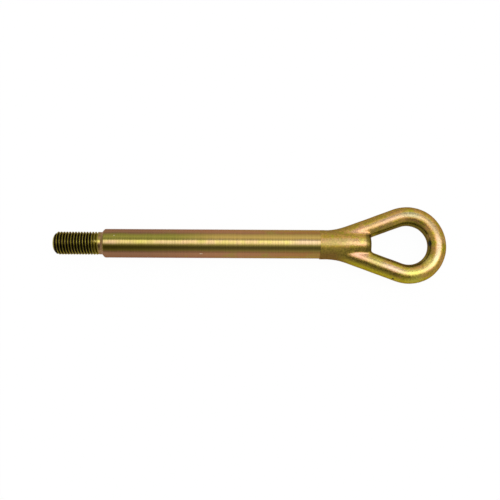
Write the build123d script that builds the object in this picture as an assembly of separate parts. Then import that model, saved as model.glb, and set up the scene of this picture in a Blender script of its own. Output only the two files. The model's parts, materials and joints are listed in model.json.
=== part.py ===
from build123d import *
import math
import os

# Screw-in tow eye: a threaded stud, a turned round shank and a forged teardrop eye, all one piece.
# Sizes are in millimetres. X runs along the shank with its zero on the shoulder at the foot of the
# stud, the eye lies flat in the XY plane, and Z points up through its hole.

# Threaded stud: a coarse right-hand thread that runs from the chamfered tip to a plain collar
THREAD_DIAMETER = 16.0
THREAD_PITCH = 2.0
GROOVE_DEPTH = 1.2
CREST_WIDTH = 0.25
FLANK_ANGLE = 30.0
CUTTER_REACH = 0.2
CUTTER_LEAD = 1.3
STUD_LENGTH = 33.9
COLLAR_DIAMETER = 15.6
COLLAR_LENGTH = 2.2
TIP_CHAMFER = 2.85
TIP_ROUNDING = 5.0

# Turned shank and the bevelled shoulder that seats on the car's socket
SHANK_DIAMETER = 20.0
SHANK_LENGTH = 150.6
SHOULDER_LENGTH = 1.8
SHOULDER_ROUNDING = 1.4

# Forged neck: a round core that tapers between the arms and ends as the flat wall of the eye's hole
NECK_DIAMETER = 20.6
NECK_LENGTH = 3.1
CORE_LENGTH = 35.36
CORE_END_DIAMETER = 17.2
CORE_RIM_ROUNDING = 3.0
FORGING_OFFSET = 0.25

# Eye: a round bar that leaves the neck on both sides, spreads and closes in a ring
BAR_DIAMETER = 13.4
HOLE_DIAMETER = 27.5
ARM_ANGLE = 20.4
ROOT_BEND_RADIUS = 51.0
ROOT_COVER = 0.05
CREASE_RADIUS = 2.5

# Worked out from the sizes above
flank_slope = math.tan(math.radians(FLANK_ANGLE))
ring_radius = (HOLE_DIAMETER + BAR_DIAMETER) / 2
arm_slope = math.radians(ARM_ANGLE)
root_x = SHANK_LENGTH + NECK_LENGTH
root_y = (NECK_DIAMETER - BAR_DIAMETER) / 2 - ROOT_COVER
root_rise = ROOT_BEND_RADIUS * (1 - math.cos(arm_slope))
arm_length = (ring_radius * math.cos(arm_slope) - root_y - root_rise) / math.sin(arm_slope)


def turned(points, rounded):
    """Turn an outline about the X axis, with the given corners rounded first."""
    outline = make_face(Polyline(*points, close=True))
    for corner, radius in rounded:
        nearest = outline.vertices().sort_by_distance(corner)[0]
        outline = fillet(nearest, radius)
    return revolve(outline, Axis.X)


def thread_groove():
    """Helical groove between the crests, from just beyond the tip to just short of the collar."""
    start_x = -STUD_LENGTH - CUTTER_LEAD
    run = -start_x - COLLAR_LENGTH - THREAD_PITCH / 2
    helix = Helix(THREAD_PITCH, run, THREAD_DIAMETER / 2 - GROOVE_DEPTH, center=(start_x, 0, 0), direction=(1, 0, 0))
    mouth = (THREAD_PITCH - CREST_WIDTH) / 2
    root = mouth - GROOVE_DEPTH * flank_slope
    top = mouth + CUTTER_REACH * flank_slope
    height = GROOVE_DEPTH + CUTTER_REACH
    outline = make_face(Polyline((-root, 0), (root, 0), (top, height), (-top, height), close=True))
    section = Plane(helix @ 0, x_dir=(1, 0, 0), z_dir=(0, -1, 0)) * outline
    return sweep(section, helix, is_frenet=True)


def stud():
    """Round rod with the thread cut into it and its tip turned to a rounded chamfer."""
    radius = THREAD_DIAMETER / 2
    rod = Cylinder(radius, STUD_LENGTH - COLLAR_LENGTH, align=(Align.CENTER, Align.CENTER, Align.MIN))
    threaded = Pos(-STUD_LENGTH, 0, 0) * Rotation(0, 90, 0) * rod - thread_groove()
    tip_corner = (-STUD_LENGTH, radius - TIP_CHAMFER)
    points = [
        (-STUD_LENGTH, 0),
        tip_corner,
        (TIP_CHAMFER - STUD_LENGTH, radius),
        (TIP_CHAMFER - STUD_LENGTH, SHANK_DIAMETER / 2),
        (0, SHANK_DIAMETER / 2),
        (0, 0),
    ]
    return threaded & turned(points, [(tip_corner, TIP_ROUNDING)])


def stem():
    """Threaded stud, plain collar, bevelled shoulder and turned shank."""
    collar_radius = COLLAR_DIAMETER / 2
    shank_radius = SHANK_DIAMETER / 2
    shoulder_corner = (SHOULDER_LENGTH, shank_radius)
    points = [
        (-COLLAR_LENGTH, 0),
        (-COLLAR_LENGTH, collar_radius),
        (0, collar_radius),
        shoulder_corner,
        (SHANK_LENGTH, shank_radius),
        (SHANK_LENGTH, 0),
    ]
    return stud() + turned(points, [(shoulder_corner, SHOULDER_ROUNDING)])


def core():
    """Round forged neck that carries on between the arms and ends at the hole."""
    neck_radius = NECK_DIAMETER / 2
    wall_x = SHANK_LENGTH + CORE_LENGTH
    rim = (wall_x, CORE_END_DIAMETER / 2)
    points = [
        (SHANK_LENGTH, 0),
        (SHANK_LENGTH, neck_radius),
        (root_x, neck_radius),
        rim,
        (wall_x, 0),
    ]
    return turned(points, [(rim, CORE_RIM_ROUNDING)])


def half_eye():
    """One arm and half of the ring: a round bar swept from the neck to the crown of the eye."""
    bend = JernArc((root_x, root_y), (1, 0), ROOT_BEND_RADIUS, ARM_ANGLE)
    arm = PolarLine(bend @ 1, arm_length, direction=bend % 1)
    crown = JernArc(arm @ 1, arm % 1, ring_radius, -(90 + ARM_ANGLE))
    section = Plane(bend @ 0, z_dir=bend % 0) * Circle(BAR_DIAMETER / 2)
    return sweep(section, bend + arm + crown)


def forging():
    """Neck and eye in one, with the creases between the core and the arms blended."""
    neck = core()
    upper = half_eye()
    bar = upper + mirror(upper, Plane.XZ)
    whole = neck + bar
    creases = new_edges(neck, bar, combined=whole)
    return fillet(creases, CREASE_RADIUS)


def tow_eye():
    """Whole part: the turned stem and the forging, which sits a little off the stem's axis."""
    return stem() + Pos(0, -FORGING_OFFSET, 0) * forging()


os.makedirs("parts", exist_ok=True)
export_step(tow_eye(), "parts/tow_eye.step")
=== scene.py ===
"""Visual model of a screw-in tow eye: stud, turned shank and forged eye in one piece of plated steel."""

import json
import logging
import math
from dataclasses import dataclass
from enum import IntEnum
from typing import Optional, Sequence, Union

import bmesh
import bpy
from bmesh.types import BMesh, BMVert
from bpy.types import ID, Material, Mesh, Node, NodeTree, Object, World
from mathutils import Matrix, Vector, noise


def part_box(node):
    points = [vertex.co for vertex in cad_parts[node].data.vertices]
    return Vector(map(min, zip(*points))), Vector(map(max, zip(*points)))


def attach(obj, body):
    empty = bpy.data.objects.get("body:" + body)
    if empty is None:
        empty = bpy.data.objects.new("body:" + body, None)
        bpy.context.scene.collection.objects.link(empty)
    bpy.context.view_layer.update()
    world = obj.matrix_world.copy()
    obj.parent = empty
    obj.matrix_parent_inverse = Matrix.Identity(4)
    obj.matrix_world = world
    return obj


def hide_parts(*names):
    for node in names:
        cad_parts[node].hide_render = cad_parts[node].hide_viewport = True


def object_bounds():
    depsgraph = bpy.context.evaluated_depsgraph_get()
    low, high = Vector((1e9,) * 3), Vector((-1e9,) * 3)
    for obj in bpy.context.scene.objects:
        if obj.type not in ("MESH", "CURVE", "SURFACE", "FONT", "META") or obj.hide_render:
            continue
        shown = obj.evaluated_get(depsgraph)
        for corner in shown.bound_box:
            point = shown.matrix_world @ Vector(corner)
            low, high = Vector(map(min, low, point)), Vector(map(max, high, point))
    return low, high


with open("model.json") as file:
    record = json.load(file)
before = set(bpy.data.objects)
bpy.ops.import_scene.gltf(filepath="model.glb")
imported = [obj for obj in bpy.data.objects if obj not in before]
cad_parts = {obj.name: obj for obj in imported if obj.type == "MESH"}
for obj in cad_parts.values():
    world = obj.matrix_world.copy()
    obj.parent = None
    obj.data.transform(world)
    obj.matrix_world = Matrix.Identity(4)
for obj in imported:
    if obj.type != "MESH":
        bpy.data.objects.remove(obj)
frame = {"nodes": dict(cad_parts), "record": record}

CAD_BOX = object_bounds()
MM = 0.001
SEAM_MERGE = 0.0001 * MM
CUT_SNAP = 0.00001 * MM
NODE = "tow_eye"
LOG = logging.getLogger("tow_eye")

Colour = tuple[float, float, float]
Span = tuple[float, float]
Socket = bpy.types.NodeSocket
Sockets = bpy.types.bpy_prop_collection
Value = Union[float, Socket]
Inputs = dict[Union[int, str], object]


class Finish(IntEnum):
    """Finishes on the part, in the order of its material slots."""

    TURNED = 0
    FORGED = 1
    THREAD = 2


def mount(name: str) -> dict:
    """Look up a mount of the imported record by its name."""
    return next(entry for entry in frame["record"]["mounts"] if entry["name"] == name)


def smoothstep(low: float, high: float, value: float) -> float:
    """Ease from 0 at low to 1 at high."""
    share = min(max((value - low) / (high - low), 0.0), 1.0)
    return share * share * (3.0 - 2.0 * share)


def stored(bm: BMesh, name: str) -> Mesh:
    """Store a bmesh as a new mesh and free it.

    Args:
        bm: The bmesh to store.
        name: Name of the new mesh.

    Returns:
        The new mesh.
    """
    mesh = bpy.data.meshes.new(name)
    bm.to_mesh(mesh)
    bm.free()
    return mesh


def linked(name: str, data: ID) -> Object:
    """Make an object of a mesh or camera and put it in the scene.

    Args:
        name: Name of the new object.
        data: What the object shows.

    Returns:
        The new object.
    """
    item = bpy.data.objects.new(name, data)
    bpy.context.scene.collection.objects.link(item)
    return item


def dressed_mesh(bm: BMesh, name: str, finish: Finish) -> Mesh:
    """Store a bmesh as a mesh whose faces all carry one finish, and free it.

    Args:
        bm: The bmesh to store.
        name: Name of the new mesh.
        finish: Finish that every face gets.

    Returns:
        The new mesh.
    """
    for face in bm.faces:
        face.material_index = int(finish)
        face.smooth = True
    return stored(bm, name)


def spin_outline(
    bm: BMesh,
    outline: Sequence[Span],
    segments: int,
    turns: int = 1,
    lead: float = 0.0,
    merge: float = SEAM_MERGE,
) -> None:
    """Turn an open outline round the X axis, once for a closed skin or as a screw.

    Args:
        bm: The bmesh that gets the turned skin.
        outline: Points as (place along X, radius).
        segments: Facets in a turn.
        turns: Number of turns.
        lead: Rise along X in a turn, nothing for a closed skin.
        merge: Distance within which points are joined.
    """
    verts = [bm.verts.new((x, radius, 0.0)) for x, radius in outline]
    bmesh.ops.spin(
        bm,
        geom=verts + [bm.edges.new(pair) for pair in zip(verts, verts[1:])],
        cent=(0.0, 0.0, 0.0),
        axis=(1.0, 0.0, 0.0),
        dvec=(lead / segments, 0.0, 0.0),
        angle=2.0 * math.pi * turns,
        steps=turns * segments,
        use_merge=not lead,
    )
    bmesh.ops.remove_doubles(bm, verts=bm.verts, dist=merge)


def cut_across(bm: BMesh, x: float, keep_right: bool) -> None:
    """Cut a skin square to the X axis and drop one side.

    Args:
        bm: The bmesh to cut.
        x: Place of the cut.
        keep_right: Whether the side with the larger X stays.
    """
    bmesh.ops.bisect_plane(
        bm,
        geom=bm.verts[:] + bm.edges[:] + bm.faces[:],
        dist=CUT_SNAP,
        plane_co=(x, 0.0, 0.0),
        plane_no=(1.0, 0.0, 0.0),
        clear_inner=keep_right,
        clear_outer=not keep_right,
    )


@dataclass
class ThreadedStud:
    """Coarse right-hand thread with a rounded tip, run out into a plain collar at the shoulder."""

    tip_x: float
    collar_radius: float
    collar_length: float
    radius: float = 8.0 * MM
    pitch: float = 2.0 * MM
    root_radius: float = 6.8 * MM
    crest_width: float = 0.25 * MM
    crest_crown: float = 0.03 * MM
    flank_angle: float = math.radians(30.0)
    tip_chamfer: float = 2.85 * MM
    tip_rounding: float = 5.0 * MM
    cap_depth: float = 1.2 * MM
    runout: float = 0.9 * MM
    seam: float = 0.25 * MM
    tip_lean: float = math.radians(45.0)
    lead_turns: int = 3
    lead_offset: float = 1.25
    turn_merge: float = 0.002 * MM
    segments: int = 96
    cap_rings: int = 8

    def tip_radius(self, x: float) -> float:
        """Radius of the rounded tip at a place along the stud.

        Args:
            x: Place along X.

        Returns:
            The largest radius that the tip leaves there.
        """
        depth = max(x - self.tip_x, 0.0)
        flat_radius = self.radius - self.tip_chamfer - self.tip_rounding * math.tan(self.tip_lean / 2.0)
        if depth < self.tip_rounding * (1.0 - math.cos(self.tip_lean)):
            return flat_radius + math.sqrt(self.tip_rounding**2 - (self.tip_rounding - depth) ** 2)
        return self.radius - self.tip_chamfer + depth

    def tooth(self) -> list[Span]:
        """Draw one pitch of the thread's section.

        Returns:
            Points as (place, radius), from crest to crest.
        """
        run = (self.radius - self.root_radius) * math.tan(self.flank_angle)
        middle = (self.radius + self.root_radius) / 2.0
        edge = self.radius - self.crest_crown
        return [
            (0.0, edge),
            (self.crest_width / 2.0, self.radius),
            (self.crest_width, edge),
            (self.crest_width + run / 2.0, middle),
            (self.crest_width + run, self.root_radius),
            (self.pitch - run, self.root_radius),
            (self.pitch - run / 2.0, middle),
            (self.pitch, edge),
        ]

    def thread_mesh(self) -> Mesh:
        """Wind the thread between the tip's cap and the collar.

        Returns:
            The helix, open at both ends.
        """
        bm = bmesh.new()
        low = self.tip_x + self.cap_depth + self.seam
        groove_end = -self.collar_length - self.pitch / 2.0
        turns = math.ceil((groove_end - low) / self.pitch) + self.lead_turns
        first = groove_end + (self.lead_offset - turns) * self.pitch - self.crest_width / 2.0
        outline = [(first + x, radius) for x, radius in self.tooth()]
        spin_outline(bm, outline, self.segments, turns, self.pitch, self.turn_merge)
        for vert in bm.verts:
            self.trim(vert)
        cut_across(bm, low, keep_right=True)
        cut_across(bm, -self.collar_length, keep_right=False)
        return dressed_mesh(bm, "stud_thread", Finish.THREAD)

    def trim(self, vert: BMVert) -> None:
        """Hold a thread vertex inside the rounded tip and fade it into the collar.

        Args:
            vert: The vertex to move.
        """
        radius = math.hypot(vert.co.y, vert.co.z)
        fade = smoothstep(-self.collar_length - self.runout, -self.collar_length, vert.co.x)
        trimmed = min(radius, self.tip_radius(vert.co.x))
        trimmed += (self.collar_radius - trimmed) * fade
        vert.co.y *= trimmed / radius
        vert.co.z *= trimmed / radius

    def cap_mesh(self) -> Mesh:
        """Round the end of the stud.

        Returns:
            The cap, open towards the thread.
        """
        bm = bmesh.new()
        outline = []
        for ring in range(self.cap_rings, -1, -1):
            x = self.tip_x + self.cap_depth * (ring / self.cap_rings) ** 2
            outline.append((x, self.tip_radius(x)))
        outline.append((self.tip_x, outline[-1][1] / 2.0))
        outline.append((self.tip_x, 0.0))
        spin_outline(bm, outline, self.segments)
        return dressed_mesh(bm, "stud_cap", Finish.THREAD)


@dataclass
class TurnedShank:
    """Plain collar, bevelled shoulder and turned shank up to the forged neck."""

    collar_radius: float
    collar_x: float
    radius: float = 10.0 * MM
    end_x: float = 150.6 * MM
    shoulder_length: float = 1.8 * MM
    shoulder_rounding: float = 1.4 * MM
    corner_rounding: float = 0.8 * MM
    segments: int = 128
    rounding_steps: int = 6
    rings: int = 24

    def outline(self) -> list[Span]:
        """Draw the half section from the collar to the end of the turned length.

        Returns:
            Points as (place, radius).
        """
        rise = self.radius - self.collar_radius
        slope = math.atan2(rise, self.shoulder_length)
        reach = self.shoulder_rounding * math.tan(slope / 2.0)
        arc_x = self.shoulder_length + reach
        arc_radius = self.radius - self.shoulder_rounding
        points = [(self.collar_x, self.collar_radius)]
        corner_x = -self.corner_rounding * math.tan(slope / 2.0)
        for step in range(self.rounding_steps + 1):
            turn = slope * step / self.rounding_steps
            points.append((
                corner_x + self.corner_rounding * math.sin(turn),
                self.collar_radius + self.corner_rounding * (1.0 - math.cos(turn)),
            ))
        for step in range(self.rounding_steps + 1):
            turn = slope * (1.0 - step / self.rounding_steps)
            points.append((
                arc_x - self.shoulder_rounding * math.sin(turn),
                arc_radius + self.shoulder_rounding * math.cos(turn),
            ))
        for ring in range(1, self.rings + 1):
            points.append((arc_x + (self.end_x - arc_x) * ring / self.rings, self.radius))
        return points

    def mesh(self) -> Mesh:
        """Turn the half section.

        Returns:
            The turned skin, open at both ends.
        """
        bm = bmesh.new()
        spin_outline(bm, self.outline(), self.segments)
        return dressed_mesh(bm, "turned_shank", Finish.TURNED)


@dataclass
class ForgedEye:
    """Neck, arms and ring as they came from the forging dies: soft edges and a slightly uneven skin."""

    start_x: float
    hole_centre: Vector
    hole_start: float = 190.0 * MM
    triangle_merge: float = 0.001 * MM
    cut_clearance: float = 0.02 * MM
    sleeve: float = 3.0 * MM
    voxel: float = 0.42 * MM
    smoothing_passes: int = 14
    smoothing: float = 0.5
    lump_size: float = 9.0 * MM
    lump_height: float = 0.10 * MM
    lump_sink: float = 0.35
    pebble_size: float = 1.7 * MM
    pebble_height: float = 0.018 * MM
    crown_trim: float = 0.5 * MM
    crown_span: Span = (12.0 * MM, 27.0 * MM)
    facing: Span = (0.77, 0.88)
    facing_far: Span = (0.19, 0.08)
    facing_near: Span = (0.40, 0.05)
    bar_span: Span = (-3.0 * MM, 1.0 * MM)
    wall_span: Span = (-8.9 * MM, -7.2 * MM)
    wall_width: Span = (5.0 * MM, 8.0 * MM)

    def blank(self) -> Mesh:
        """Copy the solid's forged end, lengthen it a little past the cut and close it.

        Returns:
            The closed blank.
        """
        bm = bmesh.new()
        bm.from_mesh(frame["nodes"][NODE].data)
        bmesh.ops.remove_doubles(bm, verts=bm.verts, dist=self.triangle_merge)
        cut_across(bm, self.start_x + self.cut_clearance, keep_right=True)
        rim = [edge for edge in bm.edges if edge.is_boundary]
        grown = bmesh.ops.extrude_edge_only(bm, edges=rim)["geom"]
        moved = [item for item in grown if isinstance(item, BMVert)]
        bmesh.ops.translate(bm, verts=moved, vec=(-self.sleeve, 0.0, 0.0))
        ends = [edge for edge in bm.edges if edge.is_boundary]
        bmesh.ops.edgeloop_fill(bm, edges=ends)
        bmesh.ops.recalc_face_normals(bm, faces=bm.faces)
        return stored(bm, "forging_blank")

    def even_skin(self) -> Mesh:
        """Lay an even net of small faces over the blank.

        Returns:
            The netted skin.
        """
        holder = linked("forging_blank", self.blank())
        remesh = holder.modifiers.new("even_net", "REMESH")
        remesh.mode = "VOXEL"
        remesh.voxel_size = self.voxel
        graph = bpy.context.evaluated_depsgraph_get()
        skin = bpy.data.meshes.new_from_object(holder.evaluated_get(graph))
        bpy.data.objects.remove(holder)
        return skin

    def unevenness(self, place: Vector) -> float:
        """How far the forged skin stands out at a place.

        Args:
            place: A point on the skin.

        Returns:
            Height along the skin's normal, mostly negative, so that the skin stays inside the solid.
        """
        lump = noise.noise(place / self.lump_size) - self.lump_sink
        pebble = noise.noise(place / self.pebble_size)
        return lump * self.lump_height + pebble * self.pebble_height

    def hole_shade_share(self, place: Vector, normal: Vector) -> float:
        """How squarely the skin looks into the eye's hole.

        Args:
            place: A point on the skin.
            normal: The skin's normal there.

        Returns:
            Share from 0, turned away, to 1, facing the middle line of the hole.
        """
        # This share is the mask of the painted shade inside the eye: the sides of the bars that face into the
        # hole.
        middle_x = min(max(place.x, self.hole_start), self.hole_centre.x)
        inward = Vector((middle_x, self.hole_centre.y, 0.0)) - Vector((place.x, place.y, 0.0))
        inward.normalize()
        far, near = max(-inward.y, 0.0), max(inward.y, 0.0)
        low, high = (
            edge - at_far * far - at_near * near
            for edge, at_far, at_near in zip(self.facing, self.facing_far, self.facing_near)
        )
        past_start = place.x - self.hole_start
        bar = smoothstep(*self.bar_span, past_start)
        facing = smoothstep(low, high, normal.dot(inward)) * bar
        # Painted shade also lies as a dark band on the end wall of the neck, inside the eye.
        wall = smoothstep(*self.wall_span, past_start) * (1.0 - bar)
        wall *= 1.0 - smoothstep(*self.wall_width, abs(place.y - self.hole_centre.y))
        return max(facing, wall)

    def mesh(self) -> Mesh:
        """Smooth the netted skin and make it slightly uneven.

        Returns:
            The forged skin, open at its cut towards the shank.
        """
        bm = bmesh.new()
        bm.from_mesh(self.even_skin())
        for _ in range(self.smoothing_passes):
            bmesh.ops.smooth_vert(
                bm,
                verts=bm.verts,
                factor=self.smoothing,
                use_axis_x=True,
                use_axis_y=True,
                use_axis_z=True,
            )
        bm.normal_update()
        heights = [self.unevenness(vert.co) for vert in bm.verts]
        for vert, height in zip(bm.verts, heights):
            vert.co += vert.normal * height
            vert.co.x -= self.crown_trim * smoothstep(*self.crown_span, vert.co.x - self.hole_centre.x)
        cut_across(bm, self.start_x, keep_right=True)
        return dressed_mesh(bm, "forged_eye", Finish.FORGED)


@dataclass
class TowEye:
    """The whole part: stud, shank and eye bridged into one closed skin."""

    stud: ThreadedStud
    shank: TurnedShank
    eye: ForgedEye
    sharp_angle: float = math.radians(38.0)
    rim_slack: float = 0.01 * MM
    # Heights of the normal between which the painted highlight fades in, where the skin faces up
    highlight_edge: Span = (0.945, 0.992)

    def bridge(self, bm: BMesh, low: float, high: float) -> None:
        """Join the two open rims that lie between two places along X.

        Args:
            bm: The skins to join.
            low: Lower end of the stretch that holds both rims.
            high: Upper end of that stretch.
        """
        rims = [
            edge for edge in bm.edges
            if edge.is_boundary and all(low <= vert.co.x <= high for vert in edge.verts)
        ]
        finish = rims[0].link_faces[0].material_index
        for face in bmesh.ops.bridge_loops(bm, edges=rims)["faces"]:
            face.material_index = finish
            face.smooth = True

    def mark_sides(self, mesh: Mesh) -> None:
        """Store on the mesh which way its skin faces and where painted shade and highlight go, for the forged
        finish to read.

        Args:
            mesh: The finished skin.
        """
        points = mesh.vertices
        shares = {
            # Mask of the painted shade inside the eye
            "hole_shade_share": [self.eye.hole_shade_share(point.co, point.normal) for point in points],
            "side": [point.normal.y for point in points],
            # Mask of the painted highlight, where the skin faces up
            "crest": [smoothstep(*self.highlight_edge, abs(point.normal.z)) for point in points],
        }
        for name, values in shares.items():
            mesh.attributes.new(name, "FLOAT", "POINT").data.foreach_set("value", values)

    def build(self, materials: Sequence[Material]) -> Object:
        """Make the piece and give it to the frame.

        Args:
            materials: One material for each finish, in order.

        Returns:
            The finished object.
        """
        bm = bmesh.new()
        for part in (self.stud.cap_mesh(), self.stud.thread_mesh(), self.shank.mesh(), self.eye.mesh()):
            bm.from_mesh(part)
            bpy.data.meshes.remove(part)
        slack = self.rim_slack
        cap_rim = self.stud.tip_x + self.stud.cap_depth
        self.bridge(bm, cap_rim - slack, cap_rim + self.stud.seam + slack)
        self.bridge(bm, -self.stud.collar_length - slack, self.shank.collar_x + slack)
        self.bridge(bm, self.shank.end_x - slack, self.shank.end_x + slack)
        bmesh.ops.recalc_face_normals(bm, faces=bm.faces)
        open_edges = sum(not edge.is_manifold for edge in bm.edges)
        LOG.info("open edges: %d, faces: %d", open_edges, len(bm.faces))
        mesh = stored(bm, "tow_eye_skin")
        mesh.set_sharp_from_angle(angle=self.sharp_angle)
        self.mark_sides(mesh)
        for material in materials:
            mesh.materials.append(material)
        piece = linked("tow_eye_skin", mesh)
        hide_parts(NODE)
        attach(piece, "root")
        return piece


def cleared_tree(owner: Union[Material, World]) -> NodeTree:
    """Take the first nodes out of a material or world.

    Args:
        owner: The material or world.

    Returns:
        Its empty node tree.
    """
    owner.use_nodes = True
    owner.node_tree.nodes.clear()
    return owner.node_tree


class Bench:
    """Adds nodes to a tree and links them, a call for each step of a finish."""

    def __init__(self, tree: NodeTree) -> None:
        """Keep the tree that the nodes go into."""
        self.tree = tree

    def add(self, kind: str, fed: Optional[Inputs] = None, **settings: object) -> Node:
        """Add a node, set its own options and feed its inputs.

        Args:
            kind: Node type as Blender names it.
            fed: Values or sockets for its inputs, by name or number.
            **settings: Options of the node.

        Returns:
            The new node.
        """
        node = self.tree.nodes.new(kind)
        for key, value in settings.items():
            setattr(node, key, value)
        for key, value in (fed or {}).items():
            self.feed(node.inputs[key], value)
        return node

    def feed(self, socket: Socket, value: object) -> None:
        """Link a socket to another, or set its value.

        Args:
            socket: Input of a node.
            value: A number, a colour, a vector or another socket.
        """
        if isinstance(value, Socket):
            self.tree.links.new(value, socket)
        elif socket.type == "RGBA" and len(value) == 3:
            socket.default_value = (*value, 1.0)
        else:
            socket.default_value = value

    def math(self, operation: str, *values: Value) -> Socket:
        """Combine numbers or sockets, in order, with a Math node."""
        return self.add("ShaderNodeMath", dict(enumerate(values)), operation=operation).outputs[0]

    def ease(self, value: Value, low: Value, high: Value, start: Value = 0.0, end: Value = 1.0) -> Socket:
        """Ease from start to end as a value goes from low to high, and hold the ends beyond."""
        fed = dict(enumerate((value, low, high, start, end)))
        return self.add("ShaderNodeMapRange", fed, interpolation_type="SMOOTHSTEP").outputs[0]

    def fade(self, value: Value, low: Value, high: Value, most: Value = 1.0) -> Socket:
        """Ease down to nothing as a value goes from low to high."""
        return self.ease(value, low, high, most, 0.0)

    def ramp(self, value: Value, reach: float, stops: Sequence[Span], top: float) -> Socket:
        """Read a level off a ramp between given stops.

        Args:
            value: The value, from minus reach to reach.
            reach: Size of the value at both ends of the ramp.
            stops: Place of each stop in degrees from -90 to 90, and its level.
            top: Highest level.

        Returns:
            The level's socket.
        """
        share = self.math("MULTIPLY_ADD", value, 0.5 / reach, 0.5)
        node = self.add("ShaderNodeValToRGB", {0: share})
        elements = node.color_ramp.elements
        for place, _ in stops[1:-1]:
            elements.new(place / 180.0 + 0.5)
        for element, (_, level) in zip(elements, stops):
            element.color = (level / top,) * 3 + (1.0,)
        return self.math("MULTIPLY", node.outputs[0], top)

    def blend(self, factor: Value, first: object, second: object) -> Socket:
        """Mix two colours, with the factor as the share of the second."""
        # The node keeps the sockets of all its data types, so those for colours go by number
        return self.add("ShaderNodeMix", {0: factor, 6: first, 7: second}, data_type="RGBA").outputs[2]

    def scaled(self, colour: object, factor: Value) -> Socket:
        """Multiply a colour by a number."""
        node = self.add("ShaderNodeVectorMath", {0: colour, "Scale": factor}, operation="SCALE")
        return node.outputs[0]

    def noise(self, place: object, scale: Value, detail: float = 2.0, roughness: float = 0.5) -> Socket:
        """Noise over space from 0 to 1, its scale in waves to the metre."""
        fed = {"Vector": place, "Scale": scale, "Detail": detail, "Roughness": roughness}
        return self.add("ShaderNodeTexNoise", fed).outputs["Fac"]

    def rings(self, along: Value, scale: float, detail: float) -> Socket:
        """Noise from 0 to 1 that changes along one line only, its scale in waves to the metre."""
        fed = {"W": along, "Scale": scale, "Detail": detail}
        return self.add("ShaderNodeTexNoise", fed, noise_dimensions="1D").outputs["Fac"]

    def split(self, vector: object) -> Sequence[Socket]:
        """X, Y and Z of a vector as sockets."""
        return self.add("ShaderNodeSeparateXYZ", {0: vector}).outputs[:]

    def attribute(self, name: str) -> Socket:
        """Value that the mesh stores under a name."""
        return self.add("ShaderNodeAttribute", attribute_name=name).outputs["Fac"]


class MetalBench(Bench):
    """Bench on a new material, with a metal shader and the part's coordinates at hand."""

    def __init__(self, name: str, fed: Inputs) -> None:
        """Make the material, its shader and the coordinates.

        Args:
            name: The material's name.
            fed: Values for the shader's inputs, by name.
        """
        self.material = bpy.data.materials.new(name)
        super().__init__(cleared_tree(self.material))
        shader = self.add("ShaderNodeBsdfPrincipled", {"Metallic": 1.0, **fed})
        self.add("ShaderNodeOutputMaterial", {"Surface": shader.outputs["BSDF"]})
        self.inputs = shader.inputs
        self.place = self.add("ShaderNodeTexCoord").outputs["Object"]
        self.x, self.y, self.z = self.split(self.place)


FLOAT = "NodeSocketFloat"
COLOUR = "NodeSocketColor"
VECTOR = "NodeSocketVector"

# Noise values between which a patch, an accent tint, the mottling or a pit fades in
PATCH_EDGE: Span = (0.36, 0.64)
ACCENT_EDGE: Span = (0.46, 0.74)
MOTTLE_EDGE: Span = (0.3, 0.7)
PIT_EDGE: Span = (0.66, 0.76)
# Detail and roughness of a noise
SOFT_NOISE: Span = (3.0, 0.55)
ROUGH_NOISE: Span = (3.0, 0.6)
FINE_NOISE: Span = (4.0, 0.6)
ACCENT_SHIFT = (0.37, 0.11, 0.23)
MOTTLE_SCALE = 900.0
PIT_SCALE_SHARE = 0.35
RAGGED_LEAST = 0.55
RAGGED_SPREAD = 0.9
SPOT_REACH = 1.1


def new_group(
    name: str, inputs: Sequence[tuple[str, str]], outputs: Sequence[tuple[str, str]]
) -> tuple[NodeTree, Sockets, Sockets]:
    """Start a shader node group with named sockets.

    Args:
        name: The group's name.
        inputs: Name and socket type of each input.
        outputs: Name and socket type of each output.

    Returns:
        The group, its input node's sockets by name and its output node's sockets by name.
    """
    group = bpy.data.node_groups.new(name, "ShaderNodeTree")
    for label, kind in inputs:
        group.interface.new_socket(label, in_out="INPUT", socket_type=kind)
    for label, kind in outputs:
        group.interface.new_socket(label, in_out="OUTPUT", socket_type=kind)
    entry = group.nodes.new("NodeGroupInput")
    leave = group.nodes.new("NodeGroupOutput")
    return group, entry.outputs, leave.inputs


def film_group() -> NodeTree:
    """Passivation film: drifts between three tints in soft patches, with thin mottling.

    Returns:
        The group.
    """
    group, entry, leave = new_group(
        "passivation_film",
        [("Place", VECTOR), ("Patch Scale", FLOAT), ("First", COLOUR), ("Second", COLOUR), ("Third", COLOUR)],
        [("Colour", COLOUR), ("Mottle", FLOAT)],
    )
    bench = Bench(group)
    patches = bench.noise(entry["Place"], entry["Patch Scale"], *SOFT_NOISE)
    drift = bench.ease(patches, *PATCH_EDGE)
    shifted = bench.add("ShaderNodeVectorMath", {0: entry["Place"], 1: ACCENT_SHIFT}, operation="ADD")
    others = bench.noise(shifted.outputs[0], entry["Patch Scale"], *SOFT_NOISE)
    accent = bench.ease(others, *ACCENT_EDGE)
    base = bench.blend(drift, entry["First"], entry["Second"])
    bench.feed(leave["Colour"], bench.blend(accent, base, entry["Third"]))
    bench.feed(leave["Mottle"], bench.noise(entry["Place"], MOTTLE_SCALE, *FINE_NOISE))
    return group


def grain_group() -> NodeTree:
    """Fine grain of a blasted or worn skin as a height, with rarer deeper pits.

    Returns:
        The group.
    """
    group, entry, leave = new_group(
        "skin_grain",
        [("Place", VECTOR), ("Grain Scale", FLOAT)],
        [("Height", FLOAT)],
    )
    bench = Bench(group)
    grain = bench.noise(entry["Place"], entry["Grain Scale"], *ROUGH_NOISE)
    coarse_scale = bench.math("MULTIPLY", entry["Grain Scale"], PIT_SCALE_SHARE)
    pits = bench.ease(bench.noise(entry["Place"], coarse_scale), *PIT_EDGE)
    bench.feed(leave["Height"], bench.math("SUBTRACT", grain, pits))
    return group


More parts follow.
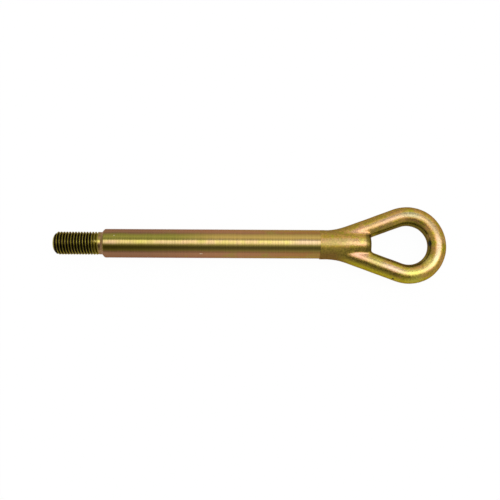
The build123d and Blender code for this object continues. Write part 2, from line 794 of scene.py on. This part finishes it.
def spot_group() -> NodeTree:
    """Soft-edged spot around a point, with a ragged outline, for blemishes and for painted light.

    Returns:
        The group.
    """
    group, entry, leave = new_group(
        "blemish_and_painted_light_spot",
        [("Place", VECTOR), ("Centre", VECTOR), ("Radius", FLOAT), ("Core", FLOAT), ("Grain", FLOAT)],
        [("Mask", FLOAT)],
    )
    bench = Bench(group)
    ends = {0: entry["Place"], 1: entry["Centre"]}
    span = bench.add("ShaderNodeVectorMath", ends, operation="DISTANCE")
    grain = bench.noise(entry["Place"], entry["Grain"])
    ragged = bench.math("MULTIPLY_ADD", grain, RAGGED_SPREAD, RAGGED_LEAST)
    reach = bench.math("DIVIDE", span.outputs["Value"], bench.math("MULTIPLY", entry["Radius"], ragged))
    bench.feed(leave["Mask"], bench.fade(reach, entry["Core"], SPOT_REACH))
    return group


@dataclass(frozen=True)
class Groups:
    """Node groups that the finishes share."""

    film: NodeTree
    grain: NodeTree
    spot: NodeTree


@dataclass(frozen=True)
class Spot:
    """Tint around a point of the skin: a blemish, a painted glint, highlight, reflection or shade, or a wide
    soft wash.

    The centre and the radius are in millimetres. The core is the share of the radius that gets the
    full tint, and the grain sets how finely the outline is ragged, in waves to the metre.
    """

    centre: tuple[float, float, float]
    radius: float
    tint: Colour
    strength: float
    core: float = 0.0
    grain: float = 160.0


@dataclass(frozen=True)
class PlatedSteel:
    """What the finishes have in common: tints of the film, gloss and depth of the skin's relief."""

    name: str
    groups: Groups
    first: Colour
    second: Colour
    third: Colour
    edge_tint: Colour
    patch_scale: float
    grain_scale: float
    roughness: float
    roughness_spread: float
    relief: float
    relief_strength: float
    coat_roughness: float
    coat: float = 0.12
    # Wide tints laid only where the highlights fall: painted highlight colour in the film's own pink and
    # yellow hues
    highlight_washes: tuple[Spot, ...] = ()
    # Small tints: real blemishes, and painted glints, highlights, reflections and shade
    marks_and_painted_light: tuple[Spot, ...] = ()

    def start(self) -> MetalBench:
        """Make a material with this finish's tint at the edges and its thin clear coat."""
        return MetalBench(self.name, {
            "Specular Tint": self.edge_tint,
            "Coat Weight": self.coat,
            "Coat Roughness": self.coat_roughness,
        })

    def film(self, bench: MetalBench) -> Sockets:
        """Place the film group with this finish's tints.

        Args:
            bench: Bench of the material.

        Returns:
            The group's outputs.
        """
        fed = {
            "Place": bench.place,
            "Patch Scale": self.patch_scale,
            "First": self.first,
            "Second": self.second,
            "Third": self.third,
        }
        return bench.add("ShaderNodeGroup", fed, node_tree=self.groups.film).outputs

    def grain(self, bench: MetalBench) -> Socket:
        """Height of the grain group at this finish's scale."""
        fed = {"Place": bench.place, "Grain Scale": self.grain_scale}
        return bench.add("ShaderNodeGroup", fed, node_tree=self.groups.grain).outputs["Height"]

    def spotted(self, bench: MetalBench, colour: Socket, spots: Sequence[Spot]) -> Socket:
        """Lay tints over a colour: painted highlight wash tints, or small tints of blemishes and painted
        light.

        Args:
            bench: Bench of the material.
            colour: The colour so far.
            spots: The tints, the last on top.

        Returns:
            The tinted colour's socket.
        """
        for spot in spots:
            fed = {
                "Place": bench.place,
                "Centre": [value * MM for value in spot.centre],
                "Radius": spot.radius * MM,
                "Core": spot.core,
                "Grain": spot.grain,
            }
            node = bench.add("ShaderNodeGroup", fed, node_tree=self.groups.spot)
            share = bench.math("MULTIPLY", node.outputs["Mask"], spot.strength)
            colour = bench.blend(share, colour, spot.tint)
        return colour

    def gloss(self, bench: MetalBench, mottle: Value, more: Value = 0.0) -> None:
        """Let the roughness wander with the film's mottling.

        Args:
            bench: Bench of the material.
            mottle: The film's mottling.
            more: Roughness on top of the finish's own.
        """
        low = self.roughness - self.roughness_spread
        high = self.roughness + self.roughness_spread
        wander = bench.ease(mottle, *MOTTLE_EDGE, low, high)
        bench.feed(bench.inputs["Roughness"], bench.math("ADD", wander, more))

    def bump(self, bench: MetalBench, height: Value) -> None:
        """Turn a height into the shader's normal."""
        fed = {"Strength": self.relief_strength, "Distance": self.relief, "Height": height}
        bench.feed(bench.inputs["Normal"], bench.add("ShaderNodeBump", fed).outputs["Normal"])


@dataclass(frozen=True)
class TurnedFinish(PlatedSteel):
    """Lathe-turned shank: fine rings, and a film that drifts from mauve to gold along it.

    The colour also changes round the shank, with painted shade under the highlight and painted highlight
    streaks in it. A span is a stretch along X in which a tint comes or goes, and an edge is such a stretch
    across the shank, where -1 is its near side and 1 its far side.
    """

    radius: float = 10.0 * MM
    turn: float = math.radians(11.0)
    waver_scale: float = 90.0
    waver: float = 0.16
    mauve: Colour = (0.245, 0.118, 0.059)
    rose: Colour = (0.335, 0.155, 0.068)
    rose_span: Span = (20.0 * MM, 95.0 * MM)
    gold: Colour = (0.315, 0.15, 0.04)
    gold_span: Span = (95.0 * MM, 150.0 * MM)
    drift_olive: Colour = (0.27, 0.20, 0.04)
    drift_scale: float = 75.0
    drift_patch: Span = (0.48, 0.66)
    drift_most: float = 0.75
    drift_span: Span = (35.0 * MM, 70.0 * MM)
    far_edge: Span = (0.56, 0.78)
    near_edge: Span = (-0.60, -0.44)
    flank_gold: Colour = (0.35, 0.232, 0.058)
    flank_edge: Span = (0.22, 0.38)
    stain: Colour = (0.195, 0.178, 0.026)
    stain_edge: Span = (0.14, 0.30)
    stain_span: Span = (45.0 * MM, 88.0 * MM)
    stain_most: float = 0.92
    # Painted shade: olive band under the highlight, darkest towards the shoulder
    shade_band_dark: Colour = (0.15, 0.115, 0.009)
    shade_band_pale: Colour = (0.29, 0.215, 0.045)
    shade_band_span: Span = (-10.0 * MM, 110.0 * MM)
    shade_band_edge: Span = (-0.14, 0.04)
    rim_gold: Colour = (0.34, 0.225, 0.045)
    rim_edge: Span = (0.80, 0.94)
    rim_span: Span = (70.0 * MM, 135.0 * MM)
    copper: Colour = (0.26, 0.155, 0.06)
    copper_span: Span = (-0.4 * MM, 3.0 * MM)
    copper_most: float = 0.8
    bevel: Colour = (0.40, 0.25, 0.13)
    bevel_start: Span = (-0.3 * MM, 0.2 * MM)
    bevel_end: Span = (1.3 * MM, 1.8 * MM)
    bevel_roughness: float = 0.35
    fine_rings: float = 1050.0
    coarse_rings: float = 380.0
    ring_detail: float = 2.0
    ring_edge: Span = (0.3, 0.7)
    comb: float = 0.02
    grain_share: float = 0.35
    # Turning feed marks as colour stripes, deepest in the highlight band: real marks with painted highlight
    # streaks
    tick_pitch: float = 1.9 * MM
    tick_wander: float = 9.0
    tick_least: float = 0.4
    highlight_band_middle: float = 0.17
    tick_edge: Span = (0.10, 0.34)
    tick_depth: Span = (0.15, 0.04)

    def band(self, bench: MetalBench) -> Socket:
        """Measure across the shank, a little turned and with a wavering edge.

        Args:
            bench: Bench of the material.

        Returns:
            Place across the shank, from -1 to 1.
        """
        level = bench.math("MULTIPLY", bench.y, math.cos(self.turn) / self.radius)
        level = bench.math("MULTIPLY_ADD", bench.z, math.sin(self.turn) / self.radius, level)
        waver = bench.noise(bench.place, self.waver_scale, *ROUGH_NOISE)
        return bench.math("MULTIPLY_ADD", bench.math("SUBTRACT", waver, 0.5), self.waver, level)

    def edge_colour(self, bench: MetalBench) -> Socket:
        """Film colour low on the shank's two sides.

        Args:
            bench: Bench of the material.

        Returns:
            The colour's socket, mauve at the shoulder and gold at the neck.
        """
        colour = bench.blend(bench.ease(bench.x, *self.rose_span), self.mauve, self.rose)
        colour = bench.blend(bench.ease(bench.x, *self.gold_span), colour, self.gold)
        patches = bench.noise(bench.place, self.drift_scale, *ROUGH_NOISE)
        drift = bench.ease(patches, *self.drift_patch, 0.0, self.drift_most)
        drift = bench.math("MULTIPLY", drift, bench.ease(bench.x, *self.drift_span))
        return bench.blend(drift, colour, self.drift_olive)

    def film_colour(self, bench: MetalBench, patches: Socket) -> Socket:
        """Film colour from the place along and across the shank, with painted shade in the band under the
        highlight.

        Args:
            bench: Bench of the material.
            patches: Drifting colour of the film with its painted highlight tints, for the band where the
                highlight falls.

        Returns:
            The colour's socket.
        """
        x = bench.x
        across = self.band(bench)
        edge = self.edge_colour(bench)
        # Painted shade for the dark band under the highlight
        shadow = bench.blend(bench.ease(x, *self.shade_band_span), self.shade_band_dark, self.shade_band_pale)
        stained = bench.fade(x, *self.stain_span, self.stain_most)
        stained = bench.math("MULTIPLY", bench.ease(across, *self.stain_edge), stained)
        colour = bench.blend(bench.ease(across, *self.flank_edge), patches, self.flank_gold)
        colour = bench.blend(stained, colour, self.stain)
        colour = bench.blend(bench.ease(across, *self.far_edge), colour, edge)
        # Painted shade under the highlight
        colour = bench.blend(bench.fade(across, *self.shade_band_edge), colour, shadow)
        colour = bench.blend(bench.fade(across, *self.near_edge), colour, edge)
        rim = bench.ease(bench.math("ABSOLUTE", across), *self.rim_edge)
        rim = bench.math("MULTIPLY", rim, bench.ease(x, *self.rim_span))
        colour = bench.blend(rim, colour, self.rim_gold)
        return bench.blend(bench.fade(x, *self.copper_span, self.copper_most), colour, self.copper)

    def bevel_mask(self, bench: MetalBench) -> Socket:
        """Share of the bevelled shoulder, whose film is duller and paler."""
        rise = bench.ease(bench.x, *self.bevel_start)
        return bench.math("MULTIPLY", rise, bench.fade(bench.x, *self.bevel_end))

    def material(self) -> Material:
        """Build the material.

        Returns:
            The finished material.
        """
        bench = self.start()
        x = bench.x
        film = self.film(bench)
        # The film's patches carry the painted highlight tints
        colour = self.film_colour(bench, self.spotted(bench, film["Colour"], self.highlight_washes))
        fine = bench.rings(x, self.fine_rings, self.ring_detail)
        coarse = bench.rings(x, self.coarse_rings, self.ring_detail)
        wander = bench.math("MULTIPLY", coarse, self.tick_wander)
        ticks = bench.math("SINE", bench.math("MULTIPLY_ADD", x, math.tau / self.tick_pitch, wander))
        ticks = bench.math("MULTIPLY", ticks, bench.ease(fine, *self.ring_edge, self.tick_least, 1.0))
        # The stripes run deepest where the highlight falls: painted highlight streaks
        off_middle = bench.math("SUBTRACT", self.band(bench), self.highlight_band_middle)
        depth = bench.ease(bench.math("ABSOLUTE", off_middle), *self.tick_edge, *self.tick_depth)
        colour = bench.scaled(colour, bench.math("MULTIPLY_ADD", ticks, depth, 1.0))
        bevel = self.bevel_mask(bench)
        colour = bench.blend(bevel, colour, self.bevel)
        bench.feed(bench.inputs["Base Color"], self.spotted(bench, colour, self.marks_and_painted_light))
        self.gloss(bench, film["Mottle"], bench.math("MULTIPLY", bevel, self.bevel_roughness))
        comb = bench.math("MULTIPLY", bench.math("SUBTRACT", fine, 0.5), bench.y)
        height = bench.math("MULTIPLY_ADD", comb, self.comb / (self.relief * self.relief_strength), coarse)
        self.bump(bench, bench.math("MULTIPLY_ADD", self.grain(bench), self.grain_share, height))
        return bench.material


@dataclass(frozen=True)
class ForgedFinish(PlatedSteel):
    """Blasted forging under the same film, mottled gold, with painted highlights, painted shade and a painted
    reflection.

    A span is a stretch along X. A side is a stretch of the normal's Y, where -1 faces the near side.
    """

    # Painted shade: dark olive inside the eye and on the neck's end wall
    hole_shade: Colour = (0.10, 0.075, 0.008)
    hole_shade_most: float = 0.92
    # Painted highlight: a paler, pinker film where the skin faces up, weaker on the neck
    pale: Colour = (0.40, 0.27, 0.15)
    pale_share: float = 0.6
    neck_highlight: float = 0.55
    # Painted reflection: bright olive-yellow on the arms' steep near flank
    near_flank_reflection: Colour = (0.35, 0.28, 0.01)
    near_side: Span = (-0.85, -0.5)
    near_most: float = 0.9
    # Painted shade on the arms' near flank, just under their highlights
    near_shade: Colour = (0.24, 0.18, 0.025)
    shade_side: Span = (-0.5, -0.2)
    shade_most: float = 0.8
    # Painted shade: darker, browner gold on the far flank
    far_flank_shade: Colour = (0.265, 0.178, 0.04)
    far_side: Span = (0.45, 0.9)
    far_most: float = 0.85
    # Painted shade: dark brown on the neck's steep near flank
    neck_flank_shade: Colour = (0.17, 0.09, 0.018)
    neck_span: Span = (160.0 * MM, 176.0 * MM)
    neck_roughness: float = 0.18
    arm_span: Span = (197.0 * MM, 209.0 * MM)
    mottle_light: Span = (0.76, 1.24)

    def sided(self, bench: MetalBench, neck: Socket, colour: Socket) -> Socket:
        """Paint shade and reflection by the way the skin faces: near side, far side and inside of the eye.

        Args:
            bench: Bench of the material.
            neck: Share of the neck.
            colour: The colour so far.

        Returns:
            The tinted colour's socket.
        """
        side = bench.attribute("side")
        # Painted shade on the arms' near flank
        arms = bench.fade(bench.x, *self.arm_span, self.shade_most)
        shade = bench.math("MULTIPLY", bench.fade(side, *self.shade_side), arms)
        colour = bench.blend(shade, colour, self.near_shade)
        # Painted reflection on the arms' steep near flank, painted shade on the neck's steep near flank
        near = bench.blend(neck, self.near_flank_reflection, self.neck_flank_shade)
        colour = bench.blend(bench.fade(side, *self.near_side, self.near_most), colour, near)
        # Painted shade on the far flank
        colour = bench.blend(bench.ease(side, *self.far_side, 0.0, self.far_most), colour, self.far_flank_shade)
        # Painted shade inside the eye
        inside = bench.math("MULTIPLY", bench.attribute("hole_shade_share"), self.hole_shade_most)
        return bench.blend(inside, colour, self.hole_shade)

    def material(self) -> Material:
        """Build the material.

        Returns:
            The finished material.
        """
        bench = self.start()
        film = self.film(bench)
        neck = bench.fade(bench.x, *self.neck_span)
        # Painted highlight: the film turns paler where the skin faces up, and less so on the neck
        highlight_film = bench.blend(self.pale_share, film["Colour"], self.pale)
        # Painted highlight tints, laid only where the skin faces up
        highlight_film = self.spotted(bench, highlight_film, self.highlight_washes)
        crest = bench.ease(neck, 0.0, 1.0, 1.0, self.neck_highlight)
        crest = bench.math("MULTIPLY", bench.attribute("crest"), crest)
        colour = self.sided(bench, neck, bench.blend(crest, film["Colour"], highlight_film))
        colour = self.spotted(bench, colour, self.marks_and_painted_light)
        light = bench.ease(film["Mottle"], *MOTTLE_EDGE, *self.mottle_light)
        bench.feed(bench.inputs["Base Color"], bench.scaled(colour, light))
        self.gloss(bench, film["Mottle"], bench.math("MULTIPLY", neck, self.neck_roughness))
        self.bump(bench, self.grain(bench))
        return bench.material


@dataclass(frozen=True)
class ThreadFinish(PlatedSteel):
    """Cut thread: olive crests, painted shade in the grooves and a painted highlight on the rounded tip."""

    # Painted shade deep in the grooves
    groove_shade: Colour = (0.018, 0.011, 0.003)
    # Painted highlight along the tip's rounding
    tip_highlight: Colour = (0.62, 0.58, 0.18)
    crest_radius: float = 8.0 * MM
    crest_margin: float = 0.1 * MM
    groove_radius: float = 6.77 * MM
    tip_rim: Span = (-32.8 * MM, -32.2 * MM)
    run_out: Span = (-8.0 * MM, -4.0 * MM)
    run_out_dark: float = 0.35

    def material(self) -> Material:
        """Build the material.

        Returns:
            The finished material.
        """
        bench = self.start()
        film = self.film(bench)
        squares = (bench.math("MULTIPLY", value, value) for value in (bench.y, bench.z))
        radius = bench.math("SQRT", bench.math("ADD", *squares))
        middle = (self.crest_radius + self.groove_radius) / 2.0
        deep = bench.fade(radius, middle, self.crest_radius - self.crest_margin)
        # The painted groove shade thins out where the run-out grooves get shallow
        deep = bench.math("MULTIPLY", deep, bench.ease(bench.x, *self.run_out, 1.0, self.run_out_dark))
        colour = bench.blend(deep, film["Colour"], self.groove_shade)
        # Painted highlight along the tip's rounding
        colour = bench.blend(bench.fade(bench.x, *self.tip_rim), colour, self.tip_highlight)
        bench.feed(bench.inputs["Base Color"], self.spotted(bench, colour, self.marks_and_painted_light))
        self.gloss(bench, film["Mottle"])
        self.bump(bench, self.grain(bench))
        return bench.material


@dataclass
class Studio:
    """Pale floor, white walls under a dim ceiling, one long softbox, and the camera over the part."""

    target: Vector = Vector((102.4 * MM, -4.26 * MM, 0.0))
    camera_distance: float = 0.45
    camera_lean: float = math.radians(11.0)
    picture_width: float = 347.2 * MM
    sensor_width: float = 36.0
    roll: float = math.radians(0.30)
    floor_size: float = 40.0
    floor_albedo: float = 0.85
    floor_glow: float = 0.97
    wall_level: float = 0.95
    top_level: float = 4.4
    softbox_ends: Span = (math.radians(-22.0), math.radians(44.0))
    softbox_fade: float = math.radians(12.0)
    softbox_skew: float = math.radians(4.0)
    fall_span: Span = (-0.4, 0.4)
    fall: Span = (0.84, 1.16)
    right_span: Span = (0.18, 0.42)
    right_fill: float = 1.0
    clip: Span = (0.01, 100.0)
    # Light overhead: lean to the far side of the camera's line in degrees, and the level there
    levels: tuple[Span, ...] = (
        (-90.0, 0.95),
        (-74.0, 0.88),
        (-58.0, 0.78),
        (-46.0, 0.42),
        (-30.0, 0.22),
        (-19.0, 0.45),
        (-8.2, 1.25),
        (3.6, 3.20),
        (14.0, 3.90),
        (24.5, 4.10),
        (29.5, 1.25),
        (43.0, 1.40),
        (53.0, 1.90),
        (68.0, 1.45),
        (90.0, 1.05),
    )

    def floor(self, height: float) -> Object:
        """Lay the floor.

        Args:
            height: Height of its surface.

        Returns:
            The floor's object.
        """
        bm = bmesh.new()
        bmesh.ops.create_grid(bm, x_segments=1, y_segments=1, size=self.floor_size / 2.0)
        bmesh.ops.translate(bm, verts=bm.verts, vec=(0.0, 0.0, height))
        mesh = stored(bm, "floor")
        mesh.materials.append(self.floor_material())
        floor = linked("floor", mesh)
        return floor

    def floor_material(self) -> Material:
        """Make a white sheet that camera and metal see as near white, with a faint shadow left in it.

        Returns:
            The floor's material.
        """
        material = bpy.data.materials.new("white_sheet")
        bench = Bench(cleared_tree(material))
        rays = bench.add("ShaderNodeLightPath").outputs
        seen = bench.math("MAXIMUM", rays["Is Camera Ray"], rays["Is Glossy Ray"])
        seen = bench.math("MAXIMUM", seen, rays["Is Transmission Ray"])
        share = bench.math("MULTIPLY", seen, self.floor_glow)
        sheet = bench.add("ShaderNodeBsdfDiffuse", {"Color": (self.floor_albedo,) * 3})
        glow = bench.add("ShaderNodeEmission")
        mix = bench.add("ShaderNodeMixShader", {0: share, 1: sheet.outputs[0], 2: glow.outputs[0]})
        bench.add("ShaderNodeOutputMaterial", {"Surface": mix.outputs[0]})
        return material

    def world(self) -> None:
        """White walls, and overhead a long softbox between a lit far side and a dim near side."""
        world = bpy.data.worlds.new("studio")
        bpy.context.scene.world = world
        bench = Bench(cleared_tree(world))
        direction = bench.add("ShaderNodeTexCoord").outputs["Generated"]
        along, side, rise = bench.split(direction)
        lean = bench.math("ADD", bench.math("ARCTAN2", side, rise), self.camera_lean)
        lean = bench.math("MULTIPLY_ADD", along, self.softbox_skew, lean)
        overhead = bench.ramp(lean, math.radians(90.0), self.levels, self.top_level)
        overhead = bench.math("MULTIPLY", overhead, bench.ease(along, *self.fall_span, *self.fall))
        right = bench.ease(along, *self.right_span, 0.0, self.right_fill)
        overhead = bench.math("MAXIMUM", overhead, right)
        low, high = (math.sin(end) for end in self.softbox_ends)
        fade = math.sin(self.softbox_fade)
        before_end = bench.fade(along, high, high + fade)
        inside = bench.math("MULTIPLY", bench.ease(along, low - fade, low), before_end)
        over_wall = bench.math("SUBTRACT", overhead, self.wall_level)
        level = bench.math("MULTIPLY_ADD", inside, over_wall, self.wall_level)
        background = bench.add("ShaderNodeBackground", {"Strength": level})
        bench.add("ShaderNodeOutputWorld", {"Surface": background.outputs[0]})

    def camera(self) -> Object:
        """Set the camera over the part, leaning a little to its near side.

        Returns:
            The camera's object.
        """
        data = bpy.data.cameras.new("camera")
        data.sensor_width = self.sensor_width
        data.lens = self.sensor_width * self.camera_distance / self.picture_width
        data.clip_start, data.clip_end = self.clip
        camera = linked("camera", data)
        aim = Matrix.Translation(self.target) @ Matrix.Rotation(self.camera_lean, 4, "X")
        back = Matrix.Translation((0.0, 0.0, self.camera_distance))
        camera.matrix_world = aim @ back @ Matrix.Rotation(self.roll, 4, "Z")
        bpy.context.scene.camera = camera
        return camera


def finishes() -> list[Material]:
    """Make the part's materials.

    Returns:
        One material for each finish, in order.
    """
    groups = Groups(film_group(), grain_group(), spot_group())
    turned = TurnedFinish(
        name="turned_shank_film",
        groups=groups,
        first=(0.30, 0.235, 0.072),
        second=(0.32, 0.22, 0.10),
        third=(0.31, 0.265, 0.06),
        edge_tint=(0.58, 0.45, 0.40),
        patch_scale=110.0,
        grain_scale=1600.0,
        roughness=0.15,
        roughness_spread=0.03,
        relief=0.03 * MM,
        relief_strength=0.9,
        coat_roughness=0.12,
        # Painted highlight tints along the top of the shank, where the highlight falls
        highlight_washes=(
            Spot((141.0, 2.0, 9.6), 17.0, (0.32, 0.22, 0.14), 0.8),
            Spot((47.0, 2.0, 9.6), 11.0, (0.31, 0.22, 0.115), 0.7),
            Spot((9.0, 2.0, 9.6), 10.0, (0.31, 0.20, 0.11), 0.7),
        ),
        marks_and_painted_light=(
            # Pale scratch flecks: bare metal of real scratches, brightened as painted glints
            Spot((68.4, -8.1, 5.8), 0.6, (0.65, 0.52, 0.38), 0.7, 0.4, 900.0),
            Spot((69.5, -8.1, 5.8), 0.6, (0.65, 0.52, 0.38), 0.6, 0.4, 900.0),
            # Pale speck: bare metal of a small nick, brightened as a painted glint
            Spot((9.5, 3.6, 9.3), 0.4, (0.75, 0.62, 0.5), 0.7, 0.4, 900.0),
            # Painted highlight: yellow tint on the collar where the highlight falls
            Spot((-1.2, 0.2, 7.8), 1.7, (0.40, 0.35, 0.07), 0.75, 0.3, 500.0),
        ),
    )
    forged = ForgedFinish(
        name="forged_eye_film",
        groups=groups,
        first=(0.35, 0.225, 0.03),
        second=(0.41, 0.215, 0.065),
        third=(0.305, 0.26, 0.014),
        edge_tint=(0.55, 0.40, 0.25),
        patch_scale=230.0,
        grain_scale=1000.0,
        roughness=0.28,
        roughness_spread=0.06,
        relief=0.11 * MM,
        relief_strength=0.75,
        coat_roughness=0.18,
        # Painted highlight tints on the forging's up-facing skin, lighter or darker spot by spot, in the
        # film's hues
        highlight_washes=(
            Spot((176.0, 9.0, 6.4), 11.0, (0.42, 0.225, 0.12), 0.8),
            Spot((160.0, 0.0, 10.0), 17.0, (0.31, 0.265, 0.12), 0.85),
            Spot((176.0, -9.0, 6.4), 10.0, (0.43, 0.225, 0.15), 0.85),
            Spot((190.0, -12.0, 6.3), 9.0, (0.34, 0.285, 0.12), 0.8),
            Spot((199.0, 16.0, 6.5), 13.0, (0.38, 0.235, 0.15), 0.8),
            Spot((214.0, 20.0, 6.5), 12.0, (0.26, 0.235, 0.13), 0.85),
            Spot((228.5, 12.0, 6.5), 11.0, (0.25, 0.185, 0.095), 0.8),
            Spot((233.0, -1.0, 6.5), 10.0, (0.42, 0.31, 0.21), 0.8),
            Spot((229.5, -12.0, 6.5), 11.0, (0.46, 0.38, 0.22), 0.85),
            Spot((214.0, -20.5, 6.5), 12.0, (0.46, 0.41, 0.10), 0.85),
            Spot((200.0, -16.5, 6.5), 12.0, (0.44, 0.31, 0.22), 0.8),
        ),
        marks_and_painted_light=(
            # Painted highlight: greenish-white patch on the neck just before the eye
            Spot((179.0, 1.0, 8.4), 3.0, (0.44, 0.42, 0.06), 0.6, 0.0, 500.0),
            Spot((190.5, -10.0, 5.0), 8.0, (0.26, 0.24, 0.035), 0.7),
            # Painted shade narrowing the upper arm's highlight on its side towards the hole
            *(
                Spot((x, y, 6.1), 3.8, (0.25, 0.15, 0.05), 0.65)
                for x, y in ((187.0, 9.5), (193.0, 11.8), (199.0, 14.0))
            ),
            # Painted highlight widening the crown's highlight towards its outer side
            Spot((236.0, 3.0, 5.0), 5.0, (0.46, 0.32, 0.10), 0.6),
            # Painted reflection: bright yellow on the ring's lower right, on its side towards the hole
            Spot((224.0, -12.0, 6.2), 6.5, (0.52, 0.43, 0.10), 0.7),
            Spot((215.0, -24.5, 4.5), 8.0, (0.40, 0.37, 0.06), 0.65),
            Spot((226.2, 5.0, 4.3), 3.0, (0.50, 0.27, 0.08), 0.6, 0.0, 500.0),
            Spot((226.5, 0.4, 3.1), 2.6, (0.02, 0.022, 0.019), 0.97, 0.4, 700.0),
            Spot((200.3, -24.3, 2.5), 1.1, (0.03, 0.03, 0.02), 0.95, 0.4, 900.0),
        ),
    )
    thread = ThreadFinish(
        name="cut_thread_film",
        groups=groups,
        first=(0.27, 0.23, 0.03),
        second=(0.24, 0.19, 0.02),
        third=(0.32, 0.24, 0.05),
        edge_tint=(0.6, 0.5, 0.3),
        patch_scale=90.0,
        grain_scale=1800.0,
        roughness=0.33,
        roughness_spread=0.05,
        relief=0.02 * MM,
        relief_strength=0.4,
        coat_roughness=0.2,
        marks_and_painted_light=(
            # Painted glints on the crests of the last shallow turns
            Spot((-3.7, 0.1, 7.4), 1.3, (0.80, 0.70, 0.28), 0.8, 0.3, 500.0),
            Spot((-5.6, 0.1, 7.4), 1.1, (0.45, 0.36, 0.10), 0.7, 0.3, 500.0),
        ),
    )
    return [turned.material(), forged.material(), thread.material()]


def main() -> None:
    """Build the part, the studio and the camera, and report each piece."""
    logging.basicConfig(level=logging.INFO, format="%(name)s: %(message)s")
    collar = mount("thread")["dims"]
    stud = ThreadedStud(
        tip_x=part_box(NODE)[0].x,
        collar_radius=collar["r_mm"] * MM,
        collar_length=collar["length_mm"] * MM,
    )
    shank = TurnedShank(collar_radius=stud.collar_radius, collar_x=stud.seam - stud.collar_length)
    part = TowEye(stud, shank, ForgedEye(shank.end_x, Vector(mount("eye")["pos_m"])))
    piece = part.build(finishes())
    LOG.info("%s: %d faces", piece.name, len(piece.data.polygons))
    studio = Studio()
    studio.world()
    for item in (studio.floor(CAD_BOX[0].z), studio.camera()):
        LOG.info("%s set", item.name)
    bpy.context.scene.view_settings.view_transform = "Standard"


if __name__ == "__main__":
    main()
